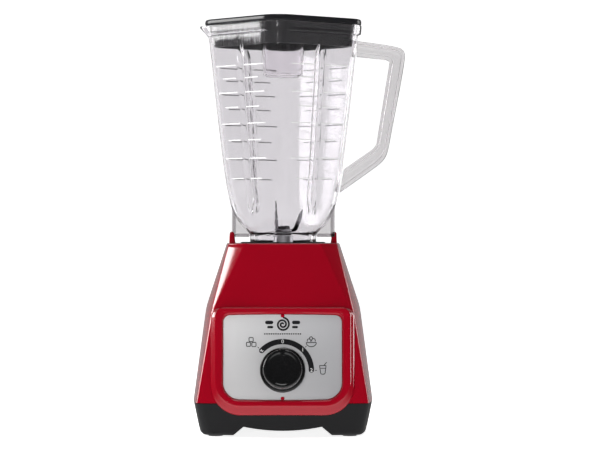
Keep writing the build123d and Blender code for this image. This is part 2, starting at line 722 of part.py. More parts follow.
def export(name, shape, turn):
    solids = shape if isinstance(shape, list) else [shape]
    placed = [Pos(axis_x, axis_y, 0) * Rot(0, 0, turn) * solid for solid in solids]
    whole = Compound([solid for item in placed for solid in item.solids()])
    export_step(whole, f"parts/{name}.step")


os.makedirs("parts", exist_ok=True)
for name, make in base_pieces.items():
    export(name, make(), 0)
for name, make in jar_pieces.items():
    export(name, make(), 0 if name in square_to_base else jar_turn)
print(f"drive axis at x {axis_x:.3f}, y {axis_y:.3f}; panel tilt {flank_tilt:.3f} degrees, pad y {pad_y:.3f}")
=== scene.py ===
import bpy
import json
import math
import numpy as np
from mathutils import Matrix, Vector


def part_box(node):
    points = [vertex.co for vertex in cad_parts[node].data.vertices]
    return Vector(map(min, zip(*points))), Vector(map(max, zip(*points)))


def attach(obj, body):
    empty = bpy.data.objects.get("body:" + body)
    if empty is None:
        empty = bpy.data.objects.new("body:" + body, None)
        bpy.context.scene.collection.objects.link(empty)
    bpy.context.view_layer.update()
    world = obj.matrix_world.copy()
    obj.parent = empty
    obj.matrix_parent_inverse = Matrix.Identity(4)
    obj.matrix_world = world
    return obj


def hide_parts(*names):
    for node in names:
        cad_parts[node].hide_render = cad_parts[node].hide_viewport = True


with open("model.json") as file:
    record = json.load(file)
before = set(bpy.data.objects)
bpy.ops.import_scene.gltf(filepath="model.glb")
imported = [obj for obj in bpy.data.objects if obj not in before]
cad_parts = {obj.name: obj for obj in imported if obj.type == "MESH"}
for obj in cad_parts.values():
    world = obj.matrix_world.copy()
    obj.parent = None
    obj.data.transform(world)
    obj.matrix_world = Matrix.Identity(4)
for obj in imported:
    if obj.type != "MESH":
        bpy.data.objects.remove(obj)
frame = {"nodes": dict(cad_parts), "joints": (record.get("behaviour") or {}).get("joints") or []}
scene = bpy.context.scene
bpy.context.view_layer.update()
print("frame loaded:", len(frame["nodes"]), "nodes")

# where things are
shaftLow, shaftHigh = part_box("motor_shaft")
axis = np.array([(shaftLow.x + shaftHigh.x) / 2, (shaftLow.y + shaftHigh.y) / 2, 0.0])   # the drive axis
joints = {joint["name"]: joint for joint in frame["joints"]}
knobPin = np.array(joints["knob_turn"]["pos_m"])
panelOut = -np.array(joints["knob_turn"]["axis"])      # out of the control panel, towards the user
panelUp = np.array([0.0, panelOut[2], -panelOut[1]])
jarTurn = math.radians(-4.2)                           # the jar's fins lean on the base's posts

view = {"away": 2.5, "aside": 0.016, "height": 0.1951, "lens": 157.9}
camera = bpy.data.objects.new("camera", bpy.data.cameras.new("camera"))
scene.collection.objects.link(camera)
camera.location = (axis[0] + view["aside"], axis[1] - view["away"], view["height"])
camera.rotation_euler = (math.radians(90), 0, 0)
camera.data.lens = view["lens"]
camera.data.sensor_width = 36
camera.data.clip_end = 50
scene.camera = camera


# shader maths
class Wire:
    # wraps a socket, so that sums and products of wires add their Math nodes
    def __init__(self, graph, socket):
        self.graph, self.socket = graph, socket

    def join(self, operation, first, second):
        return self.graph.node("ShaderNodeMath", {"operation": operation}, {0: first, 1: second})

    def __add__(self, other): return self.join("ADD", self, other)
    def __radd__(self, other): return self.join("ADD", other, self)
    def __sub__(self, other): return self.join("SUBTRACT", self, other)
    def __rsub__(self, other): return self.join("SUBTRACT", other, self)
    def __mul__(self, other): return self.join("MULTIPLY", self, other)
    def __rmul__(self, other): return self.join("MULTIPLY", other, self)
    def __pow__(self, other): return self.join("POWER", self, other)


class Graph:
    # an empty node tree to build in, of a material or of the world
    def __init__(self, owner):
        owner.use_nodes = True
        self.tree = owner.node_tree
        self.tree.nodes.clear()

    def node(self, kind, settings, values, output=0):
        made = self.tree.nodes.new(kind)
        for key, value in settings.items():
            setattr(made, key, value)
        for key, value in values.items():
            if isinstance(value, Wire):
                self.tree.links.new(value.socket, made.inputs[key])
            else:
                made.inputs[key].default_value = value
        return Wire(self, made.outputs[output])

    def mix(self, share, first, second):
        values = {0: share, 6: first if isinstance(first, Wire) else (*first, 1),
                  7: second if isinstance(second, Wire) else (*second, 1)}
        return self.node("ShaderNodeMix", {"data_type": "RGBA"}, values, 2)

    def spread(self, value, low, high, atLow, atHigh, kind="SMOOTHSTEP"):
        # a value that goes from atLow to atHigh while the given one goes from low to high
        return self.node("ShaderNodeMapRange", {"interpolation_type": kind},
                         {"Value": value, 1: low, 2: high, 3: atLow, 4: atHigh})

    def split(self, direction):
        made = self.node("ShaderNodeSeparateXYZ", {}, {"Vector": direction}).socket.node
        return [Wire(self, made.outputs[name]) for name in "XYZ"]


class Finish(Graph):
    # a material under construction, with its shader and the position on the object
    def __init__(self, name, colour, roughness, **sockets):
        self.material = bpy.data.materials.new(name)
        super().__init__(self.material)
        self.shader = self.tree.nodes.new("ShaderNodeBsdfPrincipled")
        output = self.tree.nodes.new("ShaderNodeOutputMaterial")
        self.tree.links.new(self.shader.outputs[0], output.inputs[0])
        self.put("Base Color", (*colour, 1))
        self.put("Roughness", roughness)
        for socket, value in sockets.items():
            self.put(socket.replace("_", " "), value)
        self.place = self.node("ShaderNodeTexCoord", {}, {}, "Object")

    def put(self, socket, value):
        target = self.shader.inputs[socket]
        if isinstance(value, Wire):
            self.tree.links.new(value.socket, target)
        else:
            target.default_value = value

    def noise(self, scale, detail=3, rough=0.55, stretch=None):
        where = self.place
        if stretch:
            where = self.node("ShaderNodeMapping", {}, {"Vector": self.place, "Scale": stretch})
        return self.node("ShaderNodeTexNoise", {}, {"Vector": where, "Scale": scale, "Detail": detail,
                                                    "Roughness": rough})

    def relief(self, height, strength, distance=0.0004):
        self.put("Normal", self.node("ShaderNodeBump", {}, {"Height": height, "Strength": strength,
                                                            "Distance": distance}))


def mouldedPlastic(name, colour, roughness, grain, depth, **sockets):
    # plain moulding: a fine grain in the skin, and a slow drift in its colour and gloss
    finish = Finish(name, colour, roughness, **sockets)
    drift, skin = finish.noise(14, 2), finish.noise(grain, 4, 0.6)
    finish.put("Base Color", finish.mix(drift * 0.5, colour, tuple(c * 0.86 for c in colour)))
    finish.put("Roughness", roughness + drift * (0.12 * roughness) + skin * (0.1 * roughness))
    finish.relief(skin, depth)
    return finish.material


def turnedMetal(name, colour, roughness, stretch=(60, 60, 900), depth=0.06):
    # fine tool lines along one direction, and small stains
    finish = Finish(name, colour, roughness, Metallic=1.0)
    lines, stain = finish.noise(1.0, 4, 0.7, stretch), finish.noise(40, 3)
    finish.put("Base Color", finish.mix(stain * 0.6, colour, tuple(c * 0.8 for c in colour)))
    finish.put("Roughness", roughness + lines * 0.12)
    finish.relief(lines, depth, 0.0002)
    return finish.material


def castMetal(name, colour, roughness, grain=700):
    # small pits in the skin, and broad stains
    finish = Finish(name, colour, roughness, Metallic=1.0)
    pits, stain = finish.noise(grain, 5, 0.7), finish.noise(30, 2)
    finish.put("Base Color", finish.mix(stain * 0.7, colour, tuple(c * 0.75 for c in colour)))
    finish.put("Roughness", roughness + pits * 0.2)
    finish.relief(pits, 0.35, 0.0003)
    return finish.material


def stripedMetal(name, colour, gap, pitch, roughness, metallic, direction="Z"):
    # stacked sheets or wound wire: regular bands of the given pitch with a dark gap between them
    finish = Finish(name, colour, roughness, Metallic=metallic)
    bands = finish.node("ShaderNodeTexWave", {"wave_type": "BANDS", "bands_direction": direction},
                        {"Vector": finish.place, "Scale": 0.31 / pitch, "Distortion": 0.0})
    grime = finish.noise(60, 3)
    finish.put("Base Color", finish.mix(bands ** 0.5 * (1 - grime * 0.3), gap, colour))
    finish.put("Roughness", roughness + (1 - bands) * 0.2)
    finish.relief(bands, 0.6, 0.0003)
    return finish.material


def clearPlastic(name, tint, roughness, ior):
    # clear moulding: upright flow streaks that shade its tint and bend the light, and slow waves in its gloss
    finish = Finish(name, tint, roughness, Transmission_Weight=1.0, IOR=ior)
    waves = finish.noise(18, 2, 0.5, (1, 1, 0.35))
    streaks = finish.noise(1.0, 3, 0.6, (150, 150, 6))
    finish.put("Base Color", finish.mix(streaks * 0.8, tint, tuple(c * 0.9 for c in tint)))
    finish.put("Roughness", roughness + waves * (0.5 * roughness))
    finish.relief(streaks, 0.16, 0.001)
    return finish.material


red = (0.305, 0.0003, 0.0095)
finishes = {
    "redShell": mouldedPlastic("red_shell", red, 0.11, 240, 0.012, Coat_Weight=0.35, Coat_Roughness=0.04),
    "blackTray": mouldedPlastic("black_tray", (0.0115, 0.0115, 0.0125), 0.5, 1500, 0.16, Specular_IOR_Level=0.3),
    "blackDeck": mouldedPlastic("black_deck", (0.015, 0.016, 0.018), 0.3, 1200, 0.08),
    "footRubber": mouldedPlastic("foot_rubber", (0.02, 0.02, 0.02), 0.75, 1800, 0.3),
    "gasketRubber": mouldedPlastic("gasket_rubber", (0.7, 0.69, 0.66), 0.5, 900, 0.1),
    "blackKnob": mouldedPlastic("black_knob", (0.005, 0.005, 0.0055), 0.16, 300, 0.001, Coat_Weight=0.5,
                                Coat_Roughness=0.06),
    "blackLid": mouldedPlastic("black_lid", (0.012, 0.012, 0.014), 0.2, 500, 0.03, Specular_IOR_Level=0.25),
    "printInk": mouldedPlastic("print_ink", (0.01, 0.01, 0.012), 0.4, 900, 0.05),
    "greyInk": mouldedPlastic("grey_ink", (0.025, 0.025, 0.028), 0.45, 900, 0.05),
    "whiteInk": mouldedPlastic("white_ink", (0.85, 0.85, 0.85), 0.45, 900, 0.05),
    "palePlastic": mouldedPlastic("pale_plastic", (0.7, 0.66, 0.55), 0.4, 900, 0.08),
    "greyPlastic": mouldedPlastic("grey_plastic", (0.2, 0.2, 0.21), 0.45, 900, 0.1),
    "leadCover": mouldedPlastic("lead_cover", (0.04, 0.04, 0.045), 0.5, 1200, 0.1),
    "carbon": mouldedPlastic("carbon", (0.02, 0.02, 0.022), 0.6, 2200, 0.4),
    "steel": turnedMetal("steel", (0.55, 0.55, 0.57), 0.25),
    # blade_steel is the steel darkened by half and dark_steel nearly to black: painted shade for the dark
    # surroundings the blades and their hub reflect inside the jar
    "bladeSteel": turnedMetal("blade_steel", (0.27, 0.26, 0.28), 0.16, (400, 400, 90), 0.05),
    "darkSteel": turnedMetal("dark_steel", (0.06, 0.055, 0.06), 0.35, (400, 400, 90), 0.05),
    "brass": turnedMetal("brass", (0.75, 0.55, 0.24), 0.25),
    "bronze": castMetal("bronze", (0.5, 0.34, 0.18), 0.4, 1500),
    "castAlloy": castMetal("cast_alloy", (0.66, 0.66, 0.68), 0.3),
    "laminations": stripedMetal("laminations", (0.3, 0.3, 0.31), (0.05, 0.05, 0.05), 0.0007, 0.45, 0.8),
    "copper": stripedMetal("copper", (0.6, 0.23, 0.08), (0.12, 0.03, 0.01), 0.0009, 0.35, 0.7, "X"),
    "clearJar": clearPlastic("clear_jar", (0.81, 0.795, 0.815), 0.015, 1.32),
    "clearGrip": clearPlastic("clear_grip", (0.57, 0.555, 0.565), 0.14, 1.28),
    # the jar's level marks are clear ribs painted near-white: a painted glint of the light they catch
    "glintMarks": mouldedPlastic("glint_marks", (0.9, 0.89, 0.9), 0.3, 900, 0.02, Alpha=0.85),
    "clearCap": clearPlastic("clear_cap", (0.99, 0.972, 0.992), 0.1, 1.08),
}


def silverPlate():
    # satin silver print with painted light on it: brighter towards the top and the left of the panel where the
    # light falls, with a fine sparkle
    finish = Finish("silver_plate", (0.6, 0.6, 0.62), 0.42, Metallic=0.35)
    across, _, height = finish.split(finish.place)
    # painted light: the colour rises towards the top and towards the left and darkens towards the bottom right, a
    # painted fall of light
    rise = finish.spread(height, 0.03, 0.115, 0.0, 1.0, "LINEAR")
    side = finish.spread(across, -0.06, 0.03, 1.0, 0.0, "LINEAR")
    sparkle = finish.noise(2600, 2, 0.7)
    low = finish.mix(side, (0.45, 0.45, 0.465), (0.66, 0.655, 0.66))
    base = finish.mix(rise, low, finish.mix(side, (0.6, 0.6, 0.62), (0.93, 0.925, 0.93)))
    finish.put("Base Color", finish.mix(sparkle * 0.25, base, (0.5, 0.5, 0.52)))
    finish.put("Roughness", 0.36 + sparkle * 0.12)
    finish.relief(sparkle, 0.03, 0.0001)
    return finish.material


finishes["silverPlate"] = silverPlate()
print("finishes made:", len(finishes))


# surfaces
def sheetOf(points, loop=False, around=True, caps=False):
    # a grid of points (rows, around, 3) as corners and faces; loop joins the last row to the first, around joins
    # each row's ends, and caps closes the first and last rows with a fan about their middle
    rows, columns = points.shape[:2]
    ids = np.arange(rows * columns).reshape(rows, columns)
    low, high = (ids, np.roll(ids, -1, 0)) if loop else (ids[:-1], ids[1:])
    if around:
        lowNext, highNext = np.roll(low, -1, 1), np.roll(high, -1, 1)
    else:
        low, lowNext, high, highNext = low[:, :-1], low[:, 1:], high[:, :-1], high[:, 1:]
    quads = np.stack([low, lowNext, highNext, high], -1).reshape(-1, 4)
    corners, fans = points.reshape(-1, 3), np.zeros((0, 3), int)
    if caps:
        middle = np.stack([points[0].mean(0), points[-1].mean(0)])
        corners = np.concatenate([corners, middle])
        first, last = ids[0], ids[-1]
        n = rows * columns
        fans = np.concatenate([
            np.stack([np.roll(first, -1), first, np.full(columns, n)], -1),
            np.stack([last, np.roll(last, -1), np.full(columns, n + 1)], -1)])
    # a closed surface whose faces point inwards is turned over
    if around and (loop or caps):
        triangles = np.concatenate([quads[:, :3], quads[:, [0, 2, 3]], fans])
        a, b, c = corners[triangles[:, 0]], corners[triangles[:, 1]], corners[triangles[:, 2]]
        if np.einsum("ij,ij->", a, np.cross(b, c)) < 0:
            quads, fans = quads[:, ::-1], fans[:, ::-1]
    return corners, quads, fans


def makePiece(name, sheets, body, finish, stands=(), crease=38, turned=False):
    # sheets are in millimetres about the drive axis; turned ones go round with the jar
    corners, faces, count = [], [], 0
    for points, quads, fans in sheets:
        corners.append(points)
        faces += (quads + count).tolist() + (fans + count).tolist()
        count += len(points)
    corners = np.concatenate(corners) / 1000
    if turned:
        c, s = math.cos(jarTurn), math.sin(jarTurn)
        corners = corners @ np.array([[c, s, 0], [-s, c, 0], [0, 0, 1]])
    mesh = bpy.data.meshes.new(name)
    mesh.from_pydata((corners + axis).tolist(), [], faces)
    mesh.validate()
    mesh.shade_smooth()
    mesh.set_sharp_from_angle(angle=math.radians(crease))
    mesh.materials.append(finishes[finish])
    piece = bpy.data.objects.new(name, mesh)
    scene.collection.objects.link(piece)
    if stands:
        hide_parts(*stands)
    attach(piece, body)
    print("made", name, len(faces), "faces")
    return piece


def easeThrough(stations, at):
    # a smooth curve through (position, value) stations: cubic pieces whose slopes are the mean of their
    # neighbours' slopes
    x, y = np.array(stations, float).T
    slope = np.gradient(y, x)
    i = np.clip(np.searchsorted(x, at) - 1, 0, len(x) - 2)
    span = x[i + 1] - x[i]
    t = np.clip((at - x[i]) / span, 0, 1)
    return ((2 * t ** 3 - 3 * t ** 2 + 1) * y[i] + (t ** 3 - 2 * t ** 2 + t) * span * slope[i]
            + (3 * t ** 2 - 2 * t ** 3) * y[i + 1] + (t ** 3 - t ** 2) * span * slope[i + 1])


def smoothStep(low, high, at):
    t = np.clip((at - low) / (high - low), 0, 1)
    return t * t * (3 - 2 * t)


def squared(wave, power):
    # a sine or cosine raised to a small power with its sign kept, which squares a round section off
    return np.sign(wave) * np.abs(wave) ** power


def ring(angle, reach, z):
    # level rows of points from reaches (rows, angles) and heights (rows)
    z = np.asarray(z, float)[:, None] * np.ones_like(angle)[None, :]
    return np.stack([reach * np.cos(angle), reach * np.sin(angle), z], -1)


def atHeight(outline, out):
    # a flat outline on the panel, as points at one height out of it
    return np.concatenate([outline, np.full((len(outline), 1), out)], 1)


def runAlong(line):
    # distance along a line at each of its points
    return np.concatenate([[0], np.cumsum(np.linalg.norm(np.diff(line, axis=0), axis=1))])


def softLeast(first, second, soft):
    # the lesser of two reaches, with the edge between them rounded over about soft millimetres
    blend = np.clip(0.5 + 0.5 * (second - first) / soft, 0, 1)
    return second + (first - second) * blend - soft * blend * (1 - blend)


def roundSquare(angle, face, radius):
    # reach of a square with rounded corners at the given angles from a side's normal; face is from the middle to a
    # side; the reach is to the side where it is flat, and to the corner's circle beyond
    fold = np.abs((angle + math.pi / 4) % (math.pi / 2) - math.pi / 4)
    inner = face - radius
    toSide = face / np.cos(fold)
    along = inner * (np.cos(fold) + np.sin(fold))
    toCorner = along + np.sqrt(np.maximum(radius ** 2 - (2 * inner ** 2 - along ** 2), 0))
    return np.where(toSide * np.sin(fold) <= inner, toSide, toCorner)


def lathe(profile, columns=96, ripple=None):
    # profile rows of (radius, height) turned about the axis
    turn = np.linspace(0, 2 * math.pi, columns, endpoint=False)
    radius, height = np.array(profile, float).T
    points = np.stack([radius[:, None] * np.cos(turn), radius[:, None] * np.sin(turn),
                       np.repeat(height[:, None], columns, 1)], -1)
    return points if ripple is None else ripple(points)


def softPath(corners, count, soft):
    # a line through the corners, read at even steps and then averaged over soft steps either way, which rounds
    # each corner
    corners = np.array(corners, float)
    run = runAlong(corners)
    at = np.linspace(0, run[-1], count)
    line = np.stack([np.interp(at, run, corners[:, i]) for i in range(corners.shape[1])], -1)
    if soft < 1:
        return line
    before, after = 2 * line[0] - line[soft:0:-1], 2 * line[-1] - line[-2:-soft - 2:-1]
    padded = np.concatenate([before, line, after])
    kernel = np.hanning(2 * soft + 3)[1:-1]
    kernel /= kernel.sum()
    return np.stack([np.convolve(padded[:, i], kernel, "valid") for i in range(corners.shape[1])], -1)


def pillow(middle, half, edge=0.3, columns=32, rows=17):
    # a rounded block: a sphere's cosines and sines of two angles, each squared off
    u = np.linspace(-math.pi / 2, math.pi / 2, rows + 2)[1:-1, None]
    v = np.linspace(0, 2 * math.pi, columns, endpoint=False)[None, :]
    level = squared(np.cos(u), edge)
    grid = np.stack([level * squared(np.cos(v), edge), level * squared(np.sin(v), edge),
                     squared(np.sin(u), edge) * np.ones_like(v)], -1)
    return sheetOf(np.array(middle) + np.array(half) * grid, caps=True)


def onPanel(flat):
    # (across, up, out) millimetres on the control panel, as millimetres about the drive axis
    flat = np.asarray(flat, float)
    pin = (knobPin - axis) * 1000
    return pin + flat[..., :1] * np.array([1.0, 0, 0]) + flat[..., 1:2] * panelUp + flat[..., 2:3] * panelOut


# red housing
shell = {"seam": 31.2, "waist": 118.0, "deck": 178.0, "halfSeam": 84.6, "halfWaist": 72.9, "halfDeck": 53.4,
         "cornerSeam": 79.0, "cornerWaist": 64.6, "cornerDeck": 43.4, "facetSeam": 2.6, "facetWaist": 1.8,
         "facetDeck": 8.4, "bowSeam": 4.7, "bowWaist": 7.2, "bowDeck": 2.6, "wall": 2.5, "hole": 40.0,
         "holeRadius": 5.0, "round": 1.5, "columns": 320}


def shellReach(angle, z, inset=0.0):
    # reach of the housing at each angle and height: four bowed sides, each an arc, then a flat facet from near the
    # end of each arc to the corner, with the edges rounded over
    s = shell

    def level(seam, waist, deck, soft=1.1):
        low = seam + (waist - seam) * (z - s["seam"]) / (s["waist"] - s["seam"])
        high = waist + (deck - waist) * (z - s["waist"]) / (s["deck"] - s["waist"])
        return softLeast(low, high, soft) if soft else np.where(z < s["waist"], low, high)

    half = level(s["halfSeam"], s["halfWaist"], s["halfDeck"]) - inset
    corner = level(s["cornerSeam"], s["cornerWaist"], s["cornerDeck"]) - inset
    facet = level(s["facetSeam"], s["facetWaist"], s["facetDeck"], 0)
    bow = level(s["bowSeam"], s["bowWaist"], s["bowDeck"], 0)
    start = corner - facet
    fold = (angle + math.pi / 4) % (math.pi / 2) - math.pi / 4
    radius = (start ** 2 + bow ** 2) / (2 * bow)
    middle = half - radius
    side = middle * np.cos(fold) + np.sqrt(np.maximum(radius ** 2 - (middle * np.sin(fold)) ** 2, 0))

    def toFacet(turn):
        # where a ray meets the straight line from the arc's end to the corner
        runOut, runAcross = corner - (half - bow), facet
        return ((half - bow) * runAcross - start * runOut) / (np.cos(turn) * runAcross - np.sin(turn) * runOut)

    return softLeast(softLeast(side, toFacet(np.abs(fold)), 0.35), toFacet(math.pi / 2 - np.abs(fold)), 0.9)


def housingSheet():
    # rows up the outside wall, round the deck's edge, in to its square hole and down the inner wall
    s = shell
    up = np.concatenate([np.linspace(s["seam"], s["waist"] - 3, 24),
                         np.linspace(s["waist"] - 2.4, s["waist"] + 2.4, 9),
                         np.linspace(s["waist"] + 3.2, s["deck"] - 1.6, 22)])
    # more columns near the corners, where the facets meet
    lean = np.linspace(-1, 1, s["columns"] // 4, endpoint=False)
    turn = np.concatenate([math.pi / 4 * (0.45 * lean + 0.55 * lean ** 3) + (k + 0.5) * math.pi / 2
                           for k in range(4)])
    rows = [ring(turn, shellReach(turn[None, :], up[:, None]), up)]
    edge = shellReach(turn, np.array([s["deck"]]))
    hole = roundSquare(turn, s["hole"], s["holeRadius"])
    bend = np.linspace(0.1, 1, 6)[:, None] * math.pi / 2
    reach = edge + 0.45 - s["round"] * (1 - np.cos(bend))
    rows.append(ring(turn, reach, s["deck"] - s["round"] * (1 - np.sin(bend[:, 0]))))
    share = np.array([[0.5], [1.0], [1.0]])
    rows.append(ring(turn, reach[-1] + (hole - reach[-1]) * share, s["deck"] - np.array([0, 0, 3])))
    down = np.concatenate([[s["deck"] - 3.2], np.linspace(s["waist"], s["seam"], 3)])
    rows.append(ring(turn, shellReach(turn[None, :], down[:, None], s["wall"]), down))
    return sheetOf(np.concatenate(rows), loop=True)


def panelOutline(halfWidth, low, high, topRadius, footRadius, bow=0.0):
    # outline of the panel: four corner arcs joined by straight sides, its top and bottom edges bowed outwards
    parts = []
    for side, top, start in ((1, True, 0), (-1, True, 90), (-1, False, 180), (1, False, 270)):
        radius = topRadius if top else footRadius
        turn = np.radians(start + np.linspace(0, 90, 20))
        parts.append(np.stack([side * (halfWidth - radius) + radius * np.cos(turn),
                               (high - radius if top else low + radius) + radius * np.sin(turn)], -1))
        if (side, top) in ((1, True), (-1, False)):
            edge = np.linspace(side * (halfWidth - radius), -side * (halfWidth - radius), 18)[1:-1]
            parts.append(np.stack([edge, np.full(16, high if top else low)], -1))
    outline = np.concatenate(parts)
    middle = (low + high) / 2
    share = np.clip(1 - (outline[:, 0] / halfWidth) ** 2, 0, 1)
    outline[:, 1] += np.sign(outline[:, 1] - middle) * bow * share * (np.abs(outline[:, 1] - middle)
                                                                     / ((high - low) / 2)) ** 4
    return outline


pad = {"half": 62.6, "low": -33.4, "high": 57.8, "top": 8.0, "foot": 24.0, "back": -15.0, "face": 1.2,
       "soft": 1.8, "drop": 7.6, "flare": 3.6, "slope": 5.2, "plateHalf": 54.5, "plateLow": -26.2,
       "plateHigh": 50.8, "plateTop": 6.0, "plateFoot": 15.0, "plateBow": 0.9, "rim": 1.7, "recess": 1.9}


def padSheet():
    # the raised pad: its outline carried from the shell out to a rounded edge, in over the face, down the
    # sloping rim of the recess, and across the recess's floor
    p = pad
    bend = np.linspace(0, 1, 7) * math.pi / 2
    steps = [(1.0, p["back"]), (1.0, p["face"] - p["slope"] - 1.2), (0.97, p["face"] - p["slope"] - 0.5)]
    steps += [(share, p["face"] - p["slope"] * (0.16 + 0.84 * share)) for share in (0.9, 0.6, 0.3, 0.1)]
    rows = []
    for share, out in steps:
        rows.append((p["half"] + p["flare"] * share, p["low"] - p["drop"] * share, p["high"] + 0.4 * share,
                     p["top"] + 1.0, p["foot"] + p["flare"] * share, out))
    for b in bend:
        inset = p["soft"] * (1 - math.cos(b))
        rows.append((p["half"] - inset, p["low"] + inset, p["high"] - 0.6 * inset, p["top"], p["foot"] - inset,
                     p["face"] - 0.45 * p["soft"] * (1 - math.sin(b))))
    rows = [atHeight(panelOutline(*row[:5]), row[5]) for row in rows]
    for grow, out in ((p["rim"] + 0.25, p["face"] - 0.05), (p["rim"], p["face"] - 0.15),
                      (0.15, -p["recess"] + 0.6), (0.1, -p["recess"]), (-6, -p["recess"])):
        topRadius = p["plateTop"] + grow * 0.6 if grow > -5 else 2
        rows.append(atHeight(panelOutline(p["plateHalf"] + grow, p["plateLow"] - grow, p["plateHigh"] + grow,
                                          topRadius, p["plateFoot"] + grow * 0.6, p["plateBow"]), out))
    return sheetOf(onPanel(np.stack(rows)), caps=True)


posts = {"inner": 44.8, "outer": 51.4, "foot": 176.5, "top": 189.0, "deep": 2.7, "aside": 2.9, "lean": 0.55,
         "squared": 0.6}


def postSheet(side):
    # a horn: an oval section that narrows and leans outwards as it rises, with a rounded tip
    rise = np.linspace(0, 1, 22)[:, None]
    turn = np.linspace(0, 2 * math.pi, 40, endpoint=False)[None, :]
    p = posts
    middle = (p["inner"] + p["outer"]) / 2 + p["lean"] * rise
    tip = np.sqrt(np.clip(1 - ((rise - 0.82) / 0.181).clip(0, 1) ** 2, 0.0004, 1))
    wide = (p["outer"] - p["inner"]) / 2 * (1 - 0.34 * rise ** 0.8) * tip
    deep = p["deep"] * (1 - 0.15 * rise) * tip
    points = np.stack([side * (middle + wide * squared(np.cos(turn), p["squared"])),
                       side * p["aside"] + deep * squared(np.sin(turn), p["squared"]) * np.ones_like(rise),
                       p["foot"] + (p["top"] - p["foot"]) * rise * np.ones_like(turn)], -1)
    return sheetOf(points, caps=True)


makePiece("red_housing", [housingSheet(), padSheet(), postSheet(-1), postSheet(1)], "base", "redShell",
          ["housing"], crease=60)


# control panel
plate = {"keyTop": 50.4, "keyFoot": -25.8, "keySize": (1.7, 1.5, 0.55), "face": -0.72, "emblemUp": 42.4,
         "dial": 26.5, "dialWide": 4.9, "tick": (29.5, 30.6, 31.8), "tickWide": 0.8,
         "dialFrom": -52, "dialTo": 95, "pulse": -46.8, "one": 44.4, "two": 90,   # degrees clockwise from the top
         "dashUp": 33.6, "dashPitch": 2.05, "dashHalf": 0.75, "dashWide": 1.3, "iconLine": 0.75}


def plateSheet():
    # the plate's outline carried up its edge, round a small lip and in over a face that swells very slightly
    p = pad
    rows = []
    for inset, out in ((0, -p["recess"] + 0.02), (0, plate["face"] - 0.35), (0.1, plate["face"] - 0.1),
                       (0.35, plate["face"]), (12, plate["face"] + 0.02), (26, plate["face"] + 0.04)):
        rows.append(atHeight(panelOutline(p["plateHalf"] - inset, p["plateLow"] + inset, p["plateHigh"] - inset,
                                          max(p["plateTop"] - inset, 2), max(p["plateFoot"] - inset, 2),
                                          p["plateBow"] if inset < 1 else 0.3), out))
    return sheetOf(onPanel(np.stack(rows)), caps=True)


def inkLine(points, width, height=0.16, closed=False):
    # a printed line: a flat low strip of the given width carried along a path on the panel, with round ends
    points = np.array(points, float)
    if closed:
        along = np.roll(points, -1, 0) - np.roll(points, 1, 0)
    else:
        along = np.gradient(points, axis=0)
    along /= np.linalg.norm(along, axis=1)[:, None]
    side = np.stack([-along[:, 1], along[:, 0]], -1)
    half = np.full(len(points), width / 2)
    if not closed:
        run = runAlong(points)
        near = np.minimum(run, run[-1] - run)
        half = half * np.sqrt(np.clip(1 - (1 - near / (width / 2)).clip(0, 1) ** 2, 0.003, 1))
    left, right = points + side * half[:, None], points - side * half[:, None]
    low, high = plate["face"] - 0.1, plate["face"] + height
    rows = np.stack([atHeight(*row) for row in ((left, low), (left, high), (right, high), (right, low))], 1)
    return sheetOf(onPanel(rows), loop=closed, caps=not closed)


def arcPath(radius, start, end, count=60, middle=(0, 0)):
    # degrees clockwise from straight up
    turn = np.radians(np.linspace(start, end, count))
    return np.stack([middle[0] + radius * np.sin(turn), middle[1] + radius * np.cos(turn)], -1)


def straight(start, end, count=12):
    return np.array(start) + (np.array(end) - np.array(start)) * np.linspace(0, 1, count)[:, None]


def endDense(path, width):
    # more points near both ends of a path, so that they come out round
    extra = np.linspace(0, 1, 7)[1:] ** 2 * 0.5 * width
    run = runAlong(path)
    at = np.unique(np.round(np.concatenate([[0], extra, run, run[-1] - extra]), 5))
    at = at[(at >= 0) & (at <= run[-1])]
    return np.stack([np.interp(at, run, path[:, i]) for i in (0, 1)], -1)


def panelPrint():
    # the dial's black band, a tick at each setting, and a row of dashes under the emblem
    p = plate
    dial = endDense(arcPath(p["dial"], p["dialFrom"], p["dialTo"], 90), p["dialWide"])
    black = [inkLine(dial, p["dialWide"])]
    for degrees in (p["pulse"], p["one"], p["two"]):
        tick = np.concatenate([arcPath(radius, degrees, degrees, 1) for radius in p["tick"]])
        black.append(inkLine(tick, p["tickWide"]))
    for i in range(-8, 9):
        start, end = p["dashPitch"] * i - p["dashHalf"], p["dashPitch"] * i + p["dashHalf"]
        black.append(inkLine(straight((start, p["dashUp"]), (end, p["dashUp"]), 8), p["dashWide"]))
    return black


def emblem():
    # a plain spiral between two bars: the radius grows evenly with the angle
    turn = np.linspace(0, 4.5 * math.pi, 90)
    radius = 0.5 + 0.42 * turn
    lines = [inkLine(np.stack([radius * np.cos(turn), plate["emblemUp"] + radius * np.sin(turn)], -1), 1.7)]
    for side in (-1, 1):
        lines.append(inkLine(straight((side * 8.6, 44.2), (side * 16.2, 44.2), 20), 3.2))
        lines.append(inkLine(straight((side * 8.6, 39.9), (side * 14.2, 39.9), 20), 2.2))
    return lines


